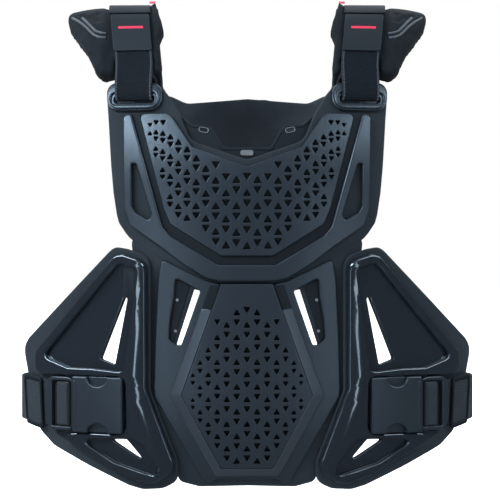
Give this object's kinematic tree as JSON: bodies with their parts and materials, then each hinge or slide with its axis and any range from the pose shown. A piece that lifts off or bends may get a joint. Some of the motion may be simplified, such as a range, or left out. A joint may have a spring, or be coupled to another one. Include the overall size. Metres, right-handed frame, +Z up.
{
  "type": "roost deflector",
  "caption": "Worn chest and back guard of vented hard plates on foam, with side wings, side buckles, shoulder straps and pads.",
  "frame": {"origin": "where the shoulder pads rest on the shoulders, midway between the two pads", "axes": "+Z up, -Y out of the front of the chest, +X towards the viewer's right as it is seen from the front"},
  "size_m": [0.47, 0.263, 0.4637],
  "materials": {
    "foam": "matte cloth-faced moulded foam",
    "satin_plate": "satin black moulded plastic with a fine grain",
    "gloss_shell": "polished black moulded plastic",
    "rubber": "matte soft black rubber",
    "cloth": "black knitted cloth over foam, with piping",
    "webbing": "black ribbed and brushed webbing",
    "tab": "dark grey rubbery tab with a plain red bar",
    "red_tag": "red woven tag"
  },
  "bodies": {
    "root": {"chest_carrier": "foam", "belly_carrier": "foam", "wing_pad_left": "foam", "wing_pad_right": "foam", "chest_frame": "satin_plate", "chest_vent_panel": "satin_plate", "strap_ring_left": "satin_plate", "strap_ring_right": "satin_plate", "belly_plate": "satin_plate", "belly_band": "satin_plate", "belly_vent_panel": "satin_plate", "buckle_body_left": "satin_plate", "buckle_body_right": "satin_plate", "buckle_clip_left": "satin_plate", "buckle_clip_right": "satin_plate", "back_plate": "satin_plate", "rear_ring_left": "satin_plate", "rear_ring_right": "satin_plate", "wing_shell_left": "gloss_shell", "wing_shell_right": "gloss_shell", "chest_channel": "rubber", "neck_liner": "rubber", "strap_stop_left": "rubber", "strap_stop_right": "rubber", "strap_keeper_left": "rubber", "strap_keeper_right": "rubber", "shoulder_pad_left": "cloth", "shoulder_pad_right": "cloth", "back_pad": "cloth", "shoulder_strap_left": "webbing", "shoulder_strap_right": "webbing", "waist_strap_left": "webbing", "waist_strap_right": "webbing", "neck_badge": "tab", "strap_tab_left": "tab", "strap_tab_right": "tab", "edge_tag_left": "red_tag", "edge_tag_right": "red_tag"}
  },
  "joints": []
}
